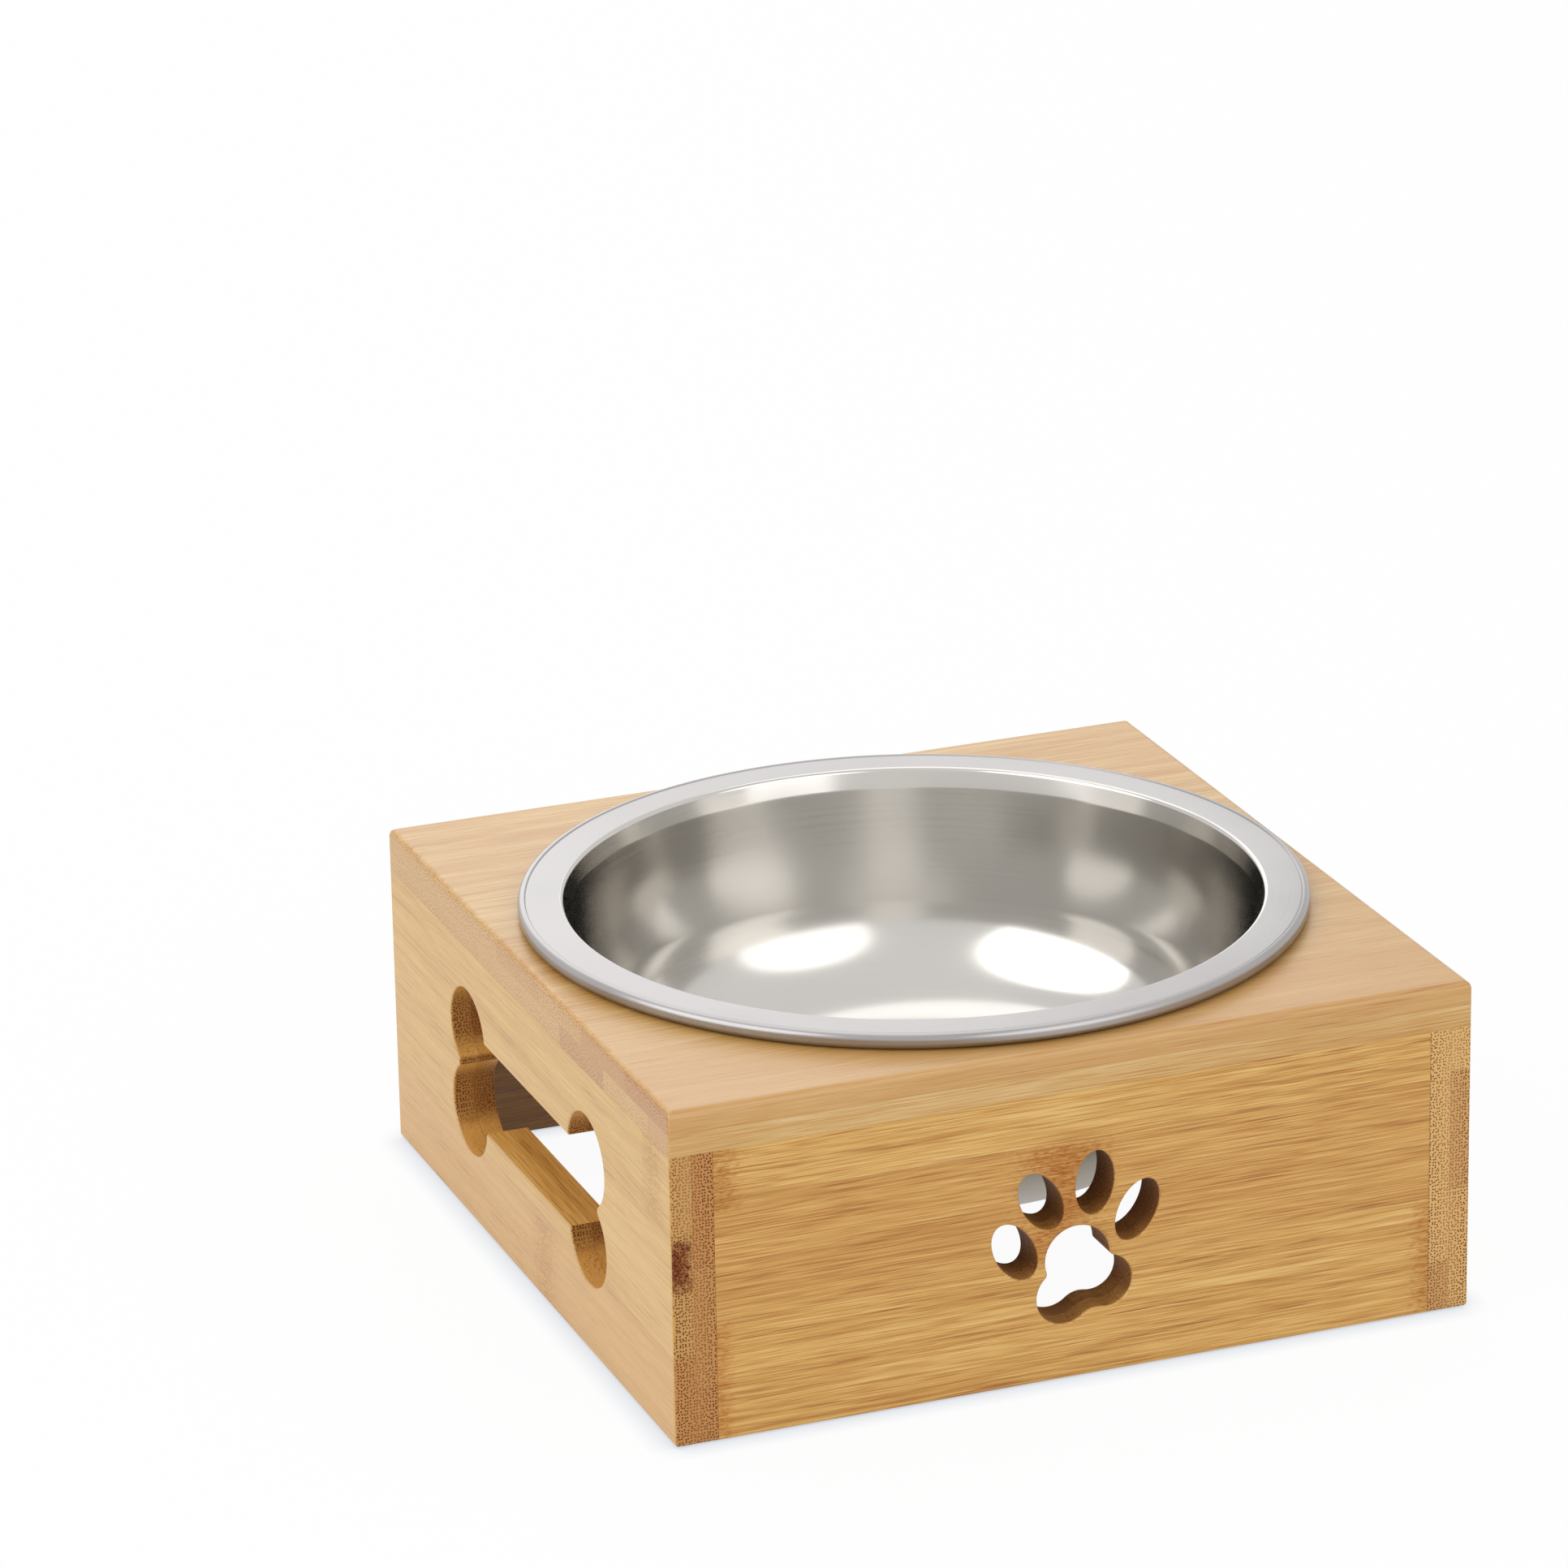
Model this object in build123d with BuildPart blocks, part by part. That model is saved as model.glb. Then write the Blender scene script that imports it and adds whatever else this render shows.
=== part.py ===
import os
from math import atan2, degrees, radians, tan

from build123d import *

os.makedirs("parts", exist_ok=True)

# The stand, in millimetres: +X to the right, the front with its paw faces -Y, +Z up from the floor
stand_width = 200.0
stand_depth = 200.0
stand_height = 83.0
panel_thickness = 10.5
top_thickness = 11.0

# Eased edges of the boards
top_edge_radius = 2.5
corner_edge_radius = 1.2
foot_edge_radius = 0.8
cut_edge_chamfer = 0.5

# Bone cut-out: four oval lobes on a straight neck, about the middle of a side board
bone_rise = 3.0
bone_lobe_reach = 42.7
bone_lobe_spread = 10.2
bone_lobe_width = 25.0
bone_lobe_height = 22.4
bone_neck_height = 23.2
bone_waist_radius = 1.5
waist_level_tolerance = 0.01

# Paw cut-out, about the middle of a front board: the toes stand on a ring
toe_length = 15.8
toe_width = 9.6
toe_ring_radius = 16.3
toe_ring_shift = 0.3
toe_ring_drop = 3.7

# In degrees, for each toe: its place on the ring, and the tilt of its length
toe_ring_angles = (174.0, 126.0, 76.0, 26.5)
toe_tilt_angles = (120.0, 119.0, 84.0, 63.0)

# The paw's main pad: a lobe is (across, up, radius), and the heel is the wider valley below
pad_lobes = ((-0.2, -6.1, 8.1), (-3.6, -15.1, 6.9), (7.0, -13.0, 6.4))
pad_valley_radius = 1.5
pad_heel_radius = 6.0

# The bowl, pressed from one sheet, with a flat flange and a rolled rim
sheet_thickness = 0.7
bowl_depth = 61.3
bowl_floor_radius = 32.0
wall_draft = 8.0
mouth_radius = 84.3
mouth_corner_radius = 3.0
flange_width = 10.9
rim_height = 4.0
rim_roll_radius = 1.45
rim_lip_width = 2.6

# How the bowl sits in the top board
bowl_hole_play = 0.8
bowl_hole_chamfer = 1.0
rim_seat_gap = 0.3

# Dowels: a short seat in the face of one board, the rest in the end of the other
dowel_diameter = 6.0
dowel_length = 25.0
dowel_seat = 7.0
dowel_chamfer = 0.6
dowel_play = 0.1
dowel_spare_depth = 1.0
corner_dowel_margin = 14.5
front_dowel_inset = 50.0
side_dowel_inset = 28.0

# Anti-slip feet, let into the side boards
foot_diameter = 8.0
foot_thickness = 2.0
foot_proud = 0.5
foot_rim_chamfer = 0.3
foot_play = 0.1
foot_inset = 12.0

# Levels, planes and hole sizes that follow from the sizes above
board_top = stand_height - top_thickness
board_height = board_top - foot_proud
board_middle = foot_proud + board_height / 2
half_width = stand_width / 2
half_depth = stand_depth / 2
inner_half_width = half_width - panel_thickness
wall_x = half_width - panel_thickness / 2
wall_y = half_depth - panel_thickness / 2
dowel_hole_radius = (dowel_diameter + dowel_play) / 2
seat_hole_depth = dowel_seat + dowel_spare_depth
end_hole_depth = dowel_length - dowel_seat + dowel_spare_depth
corner_dowel_levels = (foot_proud + corner_dowel_margin, board_top - corner_dowel_margin)
front_dowel_x = half_width - front_dowel_inset
side_dowel_y = half_depth - side_dowel_inset
foot_y = half_depth - foot_inset

front, back = Vector(0, -1, 0), Vector(0, 1, 0)
left, right = Vector(-1, 0, 0), Vector(1, 0, 0)
up, down = Vector(0, 0, 1), Vector(0, 0, -1)


def keep(name, piece):
    """Label a finished piece and write it."""
    piece.part.label = name
    export_step(piece.part, f"parts/{name}.step")


def outer_plane(normal, reach):
    """The plane of a wall's outer face, about the middle of its board, with its Y axis up."""
    origin = normal * reach + up * board_middle
    return Plane(origin=origin, x_dir=up.cross(normal), z_dir=normal)


def bone(plane):
    """The outline of the bone, seen from outside."""
    with BuildSketch(plane) as outline:
        with Locations((0, bone_rise)):
            Rectangle(2 * bone_lobe_reach, bone_neck_height)
            with GridLocations(2 * bone_lobe_reach, 2 * bone_lobe_spread, 2, 2):
                Ellipse(bone_lobe_width / 2, bone_lobe_height / 2)
        levels = (bone_rise - waist_level_tolerance, bone_rise + waist_level_tolerance)
        fillet(outline.vertices().filter_by_position(Axis.Y, *levels), bone_waist_radius)
    return outline.sketch


def paw(plane):
    """The outline of the paw, seen from outside: a pad with three lobes, and four toes."""
    middle_across = sum(lobe[0] for lobe in pad_lobes) / len(pad_lobes)
    middle_up = sum(lobe[1] for lobe in pad_lobes) / len(pad_lobes)
    with BuildSketch(plane) as outline:
        for across, rise, radius in pad_lobes:
            turn = degrees(atan2(middle_up - rise, middle_across - across))
            with Locations(Location((across, rise, 0), (0, 0, turn))):
                Circle(radius)
        fillet(outline.vertices().sort_by(Axis.Y)[1:], pad_valley_radius)
        fillet(outline.vertices().sort_by(Axis.Y)[0], pad_heel_radius)
        with Locations((toe_ring_shift, -toe_ring_drop)):
            for place, tilt in zip(toe_ring_angles, toe_tilt_angles):
                with PolarLocations(toe_ring_radius, 1, start_angle=place, rotate=False):
                    Ellipse(toe_length / 2, toe_width / 2, rotation=tilt)
    return outline.sketch


def dowel_holes(origins, facing, depth):
    """Drill dowel holes into the open board, from a face that looks along facing."""
    with Locations(*[Plane(origin=origin, z_dir=facing) for origin in origins]):
        Hole(dowel_hole_radius, depth)


# Top board with the round hole that carries the bowl
with BuildPart() as top_panel:
    with BuildSketch(Plane.XY.offset(board_top)):
        Rectangle(stand_width, stand_depth)
    extrude(amount=top_thickness)
    fillet(top_panel.edges().filter_by(Axis.Z), corner_edge_radius)
    fillet(top_panel.faces().sort_by(Axis.Z)[-1].edges(), top_edge_radius)
    with Locations((0, 0, stand_height)):
        Hole(mouth_radius + sheet_thickness + bowl_hole_play, top_thickness)
    hole_edges = top_panel.edges().filter_by(GeomType.CIRCLE).sort_by(SortBy.RADIUS)[-2:]
    chamfer(hole_edges.sort_by(Axis.Z)[-1], bowl_hole_chamfer)
    dowel_spots = [(x, y, board_top) for x in (-front_dowel_x, front_dowel_x) for y in (-wall_y, wall_y)]
    dowel_spots += [(x, y, board_top) for x in (-wall_x, wall_x) for y in (-side_dowel_y, side_dowel_y)]
    dowel_holes(dowel_spots, down, seat_hole_depth)
keep("top_panel", top_panel)

# Front and back boards, between the side boards, the paw cut through
for name, normal in (("front_panel", front), ("back_panel", back)):
    outward = Axis((0, 0, 0), normal)
    middle_y = normal.Y * wall_y
    with BuildPart() as panel:
        with BuildSketch(outer_plane(normal, half_depth)):
            Rectangle(2 * inner_half_width, board_height)
        extrude(amount=-panel_thickness)
        foot_edge = panel.faces().sort_by(Axis.Z)[0].edges().sort_by(outward)[-1]
        fillet(foot_edge, foot_edge_radius)
        extrude(paw(outer_plane(normal, half_depth)), amount=-panel_thickness, mode=Mode.SUBTRACT)
        cut_edges = panel.faces().sort_by(outward)[-1].inner_wires().edges()
        chamfer(cut_edges, cut_edge_chamfer)
        for side in (left, right):
            spots = [(side.X * inner_half_width, middle_y, level) for level in corner_dowel_levels]
            dowel_holes(spots, side, end_hole_depth)
        dowel_holes([(x, middle_y, board_top) for x in (-front_dowel_x, front_dowel_x)], up, end_hole_depth)
    keep(name, panel)

# Side boards over the full depth, the bone cut through as a grip
for name, normal in (("left_panel", left), ("right_panel", right)):
    outward = Axis((0, 0, 0), normal)
    middle_x = normal.X * wall_x
    with BuildPart() as panel:
        with BuildSketch(outer_plane(normal, half_width)):
            Rectangle(stand_depth, board_height)
        extrude(amount=-panel_thickness)
        corner_edges = panel.faces().sort_by(outward)[-1].edges().filter_by(Axis.Z)
        fillet(corner_edges, corner_edge_radius)
        foot_edges = panel.faces().sort_by(Axis.Z)[0].edges().sort_by(outward)[1:]
        fillet(foot_edges, foot_edge_radius)
        extrude(bone(outer_plane(normal, half_width)), amount=-panel_thickness, mode=Mode.SUBTRACT)
        cut_edges = panel.faces().sort_by(outward)[-1].inner_wires().edges()
        chamfer(cut_edges, cut_edge_chamfer)
        for y in (-wall_y, wall_y):
            spots = [(normal.X * inner_half_width, y, level) for level in corner_dowel_levels]
            dowel_holes(spots, -normal, seat_hole_depth)
        dowel_holes([(middle_x, y, board_top) for y in (-side_dowel_y, side_dowel_y)], up, end_hole_depth)
        with Locations(*[Plane(origin=(middle_x, y, foot_proud), z_dir=down) for y in (-foot_y, foot_y)]):
            Hole((foot_diameter + foot_play) / 2, foot_thickness - foot_proud)
    keep(name, panel)


def dowel_pair(name, origins, direction):
    """Two dowels whose seated ends start at origins and that run along direction."""
    with BuildPart() as dowels:
        with Locations(*[Plane(origin=origin, z_dir=direction) for origin in origins]):
            Cylinder(dowel_diameter / 2, dowel_length, align=(Align.CENTER, Align.CENTER, Align.MIN))
        chamfer(dowels.edges().filter_by(GeomType.CIRCLE), dowel_chamfer)
    keep(name, dowels)


# Corner dowels, from a side board into the end of the front or back board
for end_name, y in (("front", -wall_y), ("back", wall_y)):
    for side_name, side in (("left", left), ("right", right)):
        seat_x = side.X * (inner_half_width + dowel_seat)
        seats = [(seat_x, y, level) for level in corner_dowel_levels]
        dowel_pair(f"{end_name}_{side_name}_dowels", seats, -side)

# Upright dowels, from the top board down into each wall
seat_level = board_top + dowel_seat
for end_name, y in (("front", -wall_y), ("back", wall_y)):
    dowel_pair(f"{end_name}_top_dowels", [(x, y, seat_level) for x in (-front_dowel_x, front_dowel_x)], down)
for side_name, x in (("left", -wall_x), ("right", wall_x)):
    dowel_pair(f"{side_name}_top_dowels", [(x, y, seat_level) for y in (-side_dowel_y, side_dowel_y)], down)

# Feet, one near each corner of the base
for end_name, y in (("front", -foot_y), ("back", foot_y)):
    for side_name, x in (("left", -wall_x), ("right", wall_x)):
        with BuildPart() as foot:
            with Locations((x, y, 0)):
                Cylinder(foot_diameter / 2, foot_thickness, align=(Align.CENTER, Align.CENTER, Align.MIN))
            chamfer(foot.edges().group_by(Axis.Z)[0], foot_rim_chamfer)
        keep(f"{end_name}_{side_name}_foot", foot)

# Bowl: the path follows the sheet's inner face, over the flange and round the rolled rim
flange_level = stand_height + rim_height
bowl_floor = flange_level - bowl_depth
rim_foot = stand_height + rim_seat_gap
rim_radius = mouth_radius + flange_width
wall_foot_radius = mouth_radius - bowl_depth * tan(radians(wall_draft))
with BuildPart() as bowl:
    with BuildSketch(Plane.XZ) as section:
        with BuildLine():
            FilletPolyline(
                (0, bowl_floor),
                (wall_foot_radius, bowl_floor),
                (mouth_radius, flange_level),
                (rim_radius, flange_level),
                (rim_radius, rim_foot),
                (rim_radius - rim_lip_width, rim_foot),
                radius=(bowl_floor_radius, mouth_corner_radius, rim_roll_radius, rim_roll_radius),
            )
            offset(amount=sheet_thickness, side=Side.RIGHT)
        make_face()
    revolve(axis=Axis.Z)
keep("bowl", bowl)
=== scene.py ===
import math

import bmesh
import bpy
from mathutils import Matrix, Vector


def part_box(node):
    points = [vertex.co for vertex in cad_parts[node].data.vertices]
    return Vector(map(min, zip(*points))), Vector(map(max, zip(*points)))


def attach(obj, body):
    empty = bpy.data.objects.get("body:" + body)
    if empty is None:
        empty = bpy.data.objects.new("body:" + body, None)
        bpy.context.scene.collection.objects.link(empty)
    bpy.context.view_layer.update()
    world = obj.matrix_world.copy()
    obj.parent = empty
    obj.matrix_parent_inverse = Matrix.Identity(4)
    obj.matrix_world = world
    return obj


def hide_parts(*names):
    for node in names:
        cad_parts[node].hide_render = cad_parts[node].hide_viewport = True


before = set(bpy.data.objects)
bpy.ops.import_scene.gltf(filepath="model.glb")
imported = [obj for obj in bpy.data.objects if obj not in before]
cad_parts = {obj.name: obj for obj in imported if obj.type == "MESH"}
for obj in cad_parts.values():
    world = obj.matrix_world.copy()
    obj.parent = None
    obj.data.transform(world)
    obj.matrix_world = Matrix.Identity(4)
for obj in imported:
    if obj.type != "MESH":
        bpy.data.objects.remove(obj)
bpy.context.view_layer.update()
print("frame loaded")

mm = 0.001
scene = bpy.context.scene
scene.view_settings.view_transform = "Standard"


# Camera, where the photograph was taken from

cameraLook = {
    "place": (-0.60657, -1.51467, 0.71033),  # metres
    "yaw": 20.749,      # degrees to the right of the view along +Y
    "pitch": 20.083,    # degrees down
    "roll": -1.069,
    "lens": 166.776,    # mm
    "sensor": 36.0,     # mm
    "nearest": 0.05,    # metres, what it sees begins here
}


def addCamera(look):
    yaw, pitch, roll = (math.radians(look[key]) for key in ("yaw", "pitch", "roll"))
    ahead = Vector((math.sin(yaw) * math.cos(pitch), math.cos(yaw) * math.cos(pitch), -math.sin(pitch)))
    level = Vector((math.cos(yaw), -math.sin(yaw), 0))
    upright = level.cross(ahead)
    right = math.cos(roll) * level + math.sin(roll) * upright
    up = math.cos(roll) * upright - math.sin(roll) * level
    data = bpy.data.cameras.new("camera")
    data.lens = look["lens"]
    data.sensor_width = look["sensor"]
    data.clip_start = look["nearest"]
    camera = bpy.data.objects.new("camera", data)
    scene.collection.objects.link(camera)
    axes = Matrix((right, up, -ahead)).transposed().to_4x4()
    camera.matrix_world = Matrix.Translation(look["place"]) @ axes
    scene.camera = camera


addCamera(cameraLook)
print("camera placed")


# Modelling helpers

def startOn(piece):
    bpy.ops.object.select_all(action="DESELECT")
    piece.select_set(True)
    bpy.context.view_layer.objects.active = piece


def newPiece(name):  # names the primitive that was just added, and puts its place and size into its mesh
    piece = bpy.context.object
    piece.name = name
    piece.data.name = name
    bpy.ops.object.transform_apply(location=True, rotation=True, scale=True)
    return piece


def startPen(name, place):  # a tiny plane merged to one vertex, left in edit mode
    bpy.ops.object.select_all(action="DESELECT")
    bpy.ops.mesh.primitive_plane_add(size=0.1 * mm, location=place)
    pen = newPiece(name)
    bpy.ops.object.mode_set(mode="EDIT")
    bpy.ops.mesh.select_mode(type="VERT")
    bpy.ops.mesh.select_all(action="SELECT")
    bpy.ops.mesh.merge(type="CENTER")
    return pen


def applyModifier(piece, kind, **settings):
    startOn(piece)
    modifier = piece.modifiers.new(kind.lower(), kind)
    for key, value in settings.items():
        setattr(modifier, key, value)
    bpy.ops.object.modifier_apply(modifier=modifier.name)


def joinPieces(pieces):
    startOn(pieces[0])
    for piece in pieces:
        piece.select_set(True)
    bpy.ops.object.join()
    return pieces[0]


def cutAway(piece, cutters):  # the cut faces keep the cutters' material
    tool = joinPieces(cutters)
    applyModifier(
        piece, "BOOLEAN", object=tool, operation="DIFFERENCE", solver="EXACT", material_mode="TRANSFER")
    bpy.data.objects.remove(tool)


def smoothPiece(piece, angle):
    startOn(piece)
    bpy.ops.object.shade_smooth_by_angle(angle=math.radians(angle))
    applyModifier(piece, "WEIGHTED_NORMAL", keep_sharp=True, weight=80)


# Outlines of the cut-outs, drawn flat with X across and Y up, as seen from outside the board

def drawArc(centre, sweep, step):  # the pen turns about a centre, anticlockwise if the sweep is positive
    steps = max(3, round(abs(sweep) / step))
    turn = -math.radians(sweep)  # spin turns the other way
    bpy.ops.mesh.spin(steps=steps, angle=turn, center=(centre[0], centre[1], 0), axis=(0, 0, 1))


def drawLine(across, up):
    bpy.ops.mesh.extrude_vertices_move(TRANSFORM_OT_translate={"value": (across, up, 0)})


def raiseOutline(outline, low, high):  # closes the outline and makes it a solid from low to high
    bpy.ops.mesh.select_all(action="SELECT")
    bpy.ops.mesh.remove_doubles(threshold=0.02 * mm)
    bpy.ops.mesh.edge_face_add()
    bpy.ops.transform.translate(value=(0, 0, low))
    bpy.ops.mesh.extrude_region_move(TRANSFORM_OT_translate={"value": (0, 0, high - low)})
    bpy.ops.mesh.select_all(action="SELECT")
    bpy.ops.mesh.normals_make_consistent(inside=False)
    bpy.ops.object.mode_set(mode="OBJECT")
    return outline


def angleFrom(centre, point):
    return math.degrees(math.atan2(point[1] - centre[1], point[0] - centre[0]))


def between(first, second):  # turn from one angle to the next, anticlockwise
    return (second - first) % 360


# Centre of the circle that touches two lobes from outside, on the side away from the middle
def valleyCentre(first, second, radius, middle):
    a, b = Vector(first[:2]), Vector(second[:2])
    reachA, reachB = first[2] + radius, second[2] + radius
    ahead = (b - a).normalized()
    gap = (b - a).length
    share = (reachA ** 2 - reachB ** 2 + gap ** 2) / (2 * gap)
    rise = math.sqrt(reachA ** 2 - share ** 2)
    sides = [a + ahead * share + Vector((-ahead.y, ahead.x)) * rise * sign for sign in (1, -1)]
    return max(sides, key=lambda point: (point - Vector(middle)).length)


pawShape = {  # mm, about the middle of the board
    "lobes": ((-0.2, -6.1, 8.1), (-3.6, -15.1, 6.9), (7.0, -13.0, 6.4)),  # across, up, radius
    "valleys": (1.5, 6.0, 1.5),  # each after its lobe
    "ring": 16.3, "ringAt": (0.3, -3.7),
    "toes": ((174.0, 120.0), (126.0, 119.0), (76.0, 84.0), (26.5, 63.0)),  # place on the ring, tilt
    "toeSize": (15.8, 9.6), "toeSides": 96,
    "arcStep": 3.0,  # degrees
}


def pawCutters(shape, low, high):
    lobes = [[value * mm for value in lobe] for lobe in shape["lobes"]]
    middle = [sum(lobe[i] for lobe in lobes) / len(lobes) for i in (0, 1)]
    pairs = zip(lobes, lobes[1:] + lobes[:1], shape["valleys"])
    valleys = [valleyCentre(lobe, following, valley * mm, middle) for lobe, following, valley in pairs]
    towards = math.radians(angleFrom(lobes[0], valleys[-1]))
    start = Vector(lobes[0][:2]) + lobes[0][2] * Vector((math.cos(towards), math.sin(towards)))
    pad = startPen("padCutter", (*start, 0))
    for i, lobe in enumerate(lobes):
        before, after = valleys[i - 1], valleys[i]
        following = lobes[(i + 1) % len(lobes)]
        drawArc(lobe, between(angleFrom(lobe, before), angleFrom(lobe, after)), shape["arcStep"])
        drawArc(after, -between(angleFrom(after, following), angleFrom(after, lobe)), shape["arcStep"] * 2)
    cutters = [raiseOutline(pad, low, high)]
    for place, tilt in shape["toes"]:
        turn = math.radians(place)
        across = shape["ringAt"][0] + shape["ring"] * math.cos(turn)
        up = shape["ringAt"][1] + shape["ring"] * math.sin(turn)
        bpy.ops.object.select_all(action="DESELECT")
        bpy.ops.mesh.primitive_cylinder_add(
            vertices=shape["toeSides"], radius=0.5, depth=1,
            location=(across * mm, up * mm, (low + high) / 2), rotation=(0, 0, math.radians(tilt)))
        bpy.context.object.scale = (shape["toeSize"][0] * mm, shape["toeSize"][1] * mm, high - low)
        cutters.append(newPiece("toeCutter"))
    return joinPieces(cutters)


boneShape = {  # mm, about the middle of the board
    "rise": 3.0,
    "reach": 42.7, "spread": 10.2,  # centres of the lobes
    "lobeSize": (25.0, 22.4),
    "neck": 23.2,
    "waist": 1.5,
    "arcStep": 3.0,  # degrees
}


# Drawn with round lobes, then widened until they are as oval as they should be
def boneCutter(shape, low, high):
    widen = shape["lobeSize"][0] / shape["lobeSize"][1]
    radius = shape["lobeSize"][1] / 2 * mm
    reach, spread = shape["reach"] / widen * mm, shape["spread"] * mm
    neck, waist = shape["neck"] / 2 * mm, shape["waist"] * mm
    inset = math.sqrt(radius ** 2 - (neck - spread) ** 2)
    waistReach = reach + math.sqrt((radius + waist) ** 2 - spread ** 2)
    corner = (reach - inset, -neck)
    bone = startPen("boneCutter", (*corner, 0))
    for end in (1, -1):  # the left end is the right one turned half round
        lower = (end * reach, -end * spread)
        upper = (end * reach, end * spread)
        middle = (end * waistReach, 0)
        start = (end * corner[0], end * corner[1])
        lobeSweep = between(angleFrom(lower, start), angleFrom(lower, middle))
        drawArc(lower, lobeSweep, shape["arcStep"])
        drawArc(middle, -between(angleFrom(middle, upper), angleFrom(middle, lower)), shape["arcStep"] * 3)
        drawArc(upper, lobeSweep, shape["arcStep"])
        drawLine(-2 * end * corner[0], 0)
    bone = raiseOutline(bone, low, high)
    bone.scale = (widen, 1, 1)
    bone.location = (0, shape["rise"] * mm, 0)
    startOn(bone)
    bpy.ops.object.transform_apply(location=True, rotation=True, scale=True)
    return bone


# From flat to upright on the wall that faces the front, then round to its own wall
def standUp(cutter, turn, level):
    startOn(cutter)
    cutter.rotation_euler = (math.radians(90), 0, math.radians(turn))
    cutter.location = (0, 0, level)
    bpy.ops.object.transform_apply(location=True, rotation=True, scale=True)
    return cutter


# Nodes for the materials

def linear(code):  # sRGB hex to linear
    values = [int(code[i:i + 2], 16) / 255 for i in (1, 3, 5)]
    return [v / 12.92 if v <= 0.04045 else ((v + 0.055) / 1.055) ** 2.4 for v in values] + [1.0]


# Gives back one output, the first where none is named, or the node itself if out is None
def addNode(tree, kind, inputs=None, out=0, stops=None, **settings):
    node = tree.nodes.new("ShaderNode" + kind)
    for key, value in settings.items():
        setattr(node, key, value)
    for key, value in (inputs or {}).items():
        if isinstance(value, bpy.types.NodeSocket):
            tree.links.new(value, node.inputs[key])
        else:
            node.inputs[key].default_value = value
    if stops:
        ramp = node.color_ramp.elements
        while len(ramp) < len(stops):
            ramp.new(1.0)
        for element, (place, colour) in zip(ramp, stops):
            element.position = place
            element.color = linear(colour)
    return node if out is None else node.outputs[out]


noiseLow, noiseHigh = 0.3, 0.7  # nearly all of a noise's values lie between these


def newMaterial(name):
    material = bpy.data.materials.new(name)
    material.use_nodes = True
    material.node_tree.nodes.clear()
    return material, material.node_tree


# Bamboo laminate, two plies of flat-pressed slats, planed, sanded and lacquered satin: straight fibres that
# show as fine long streaks on the faces and as dots on the ends, slats of slightly different tone, and
# bands of short wavy dashes where a slat has a node of the culm
bambooLook = {
    "slatWidth": 30.0,          # mm, the slats that a ply is laid up from
    "slatSeam": 0.2,            # mm, half of the glue line between two slats
    "plySeam": (0.15, 0.03),    # mm from the middle, where the plies' glue line begins and is full
    "slatTone": (0.34, 0.66),   # place of the darkest and palest slat among the tones
    "grain": (                  # mm long, mm wide, share of the tones
        (14.0, 0.2, 0.24), (32.0, 0.42, 0.2), (110.0, 5.0, 0.12)),
    "streak": (26.0, 0.7),      # mm, length and spacing of the fibre bundles on a long face
    "streakSize": (0.14, 0.32),  # of that spacing, from core to clear ground
    "bundleShare": (0.2, 0.62),  # how dark the streaks are, alone and in groups
    "dot": 0.76,                # mm between the bundles on an end
    "dotSize": (0.13, 0.39),    # of that spacing, from dark core to clear ground
    "dotShare": (0.35, 0.8),    # how dark the dots of a slat are
    "crowd": (5.5, 0.7, 1.2),   # mm from the middle to the outside, and how dark the dots are there
    "wander": 0.2,              # mm that the fibres stray sideways
    "sway": (40.0, 9.0),        # mm, length and width of that straying
    "knot": (1.7, 1.3),         # mm, length and width of the waves at a node
    "knotBend": 0.35,           # how much the fibres follow those waves
    "dash": (2.0, 0.4),         # mm, length and width of the dark dashes at a node
    "tones": ((0.0, "#b07430"), (0.3, "#c28f49"), (0.5, "#cba05d"), (0.7, "#d6b276"), (1.0, "#e2c494")),
    "pink": "#ca995b",
    "blush": 0.55,              # share of that pink in the pinkest slat
    "bundle": "#a3672c",
    "endGround": "#cda163",
    "endPink": "#b9844e",
    "endDot": "#7a4a22",
    "glue": "#8a5c30",
    "glueShare": 0.3,
    "rough": (0.26, 0.38),
    "ior": 1.58,
    "gloss": (0.5, 0.04),       # specular level of the lacquer, and where it sinks into open pores
    "grit": 0.03,               # mm, height of the grain under the lacquer
}

frontLook = dict(  # the front and back boards, more golden and more strongly streaked
    bambooLook,
    grain=((14.0, 0.2, 0.3), (32.0, 0.42, 0.27), (110.0, 5.0, 0.12)),
    tones=((0.0, "#a36520"), (0.3, "#bb8435"), (0.5, "#c99747"), (0.7, "#d7a859"), (1.0, "#e5bd74")),
    pink="#c58943",
    bundle="#9c5512",
    bundleShare=(0.32, 0.85),
)

sideLook = dict(  # the left board, calmer on its face, with brown, strongly dotted ends
    bambooLook,
    grain=((18.0, 0.2, 0.21), (40.0, 0.36, 0.15), (110.0, 5.0, 0.1)),
    tones=((0.0, "#ae7d39"), (0.3, "#c2954a"), (0.5, "#cea45a"), (0.7, "#d9b16a"), (1.0, "#e4c383")),
    pink="#ca9358",
    endGround="#c28e47",
    endPink="#b57632",
    endDot="#5c2c04",
    dotShare=(0.6, 1.25),
)

rightLook = dict(sideLook, endGround="#daa964", endPink="#c69050")  # the right board, with paler ends

routedAndShadedLook = dict(  # in the paws and the round hole, as the router leaves it: dull and dotted, and darker than the faces, partly the raw wood's own tone and partly painted shade of the deep cut-outs
    bambooLook,
    tones=((0.0, "#7c4c1e"), (0.3, "#96632d"), (0.5, "#a67238"), (0.7, "#b68244"), (1.0, "#c89655")),
    pink="#96602f",
    bundle="#5f3613",
    endGround="#8a5829",
    endPink="#70431c",
    endDot="#3a1f0b",
    glue="#3f240d",
    rough=(0.6, 0.75),
    ior=1.4,
    grit=0.08,
    dotShare=(0.5, 0.9),
)

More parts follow.
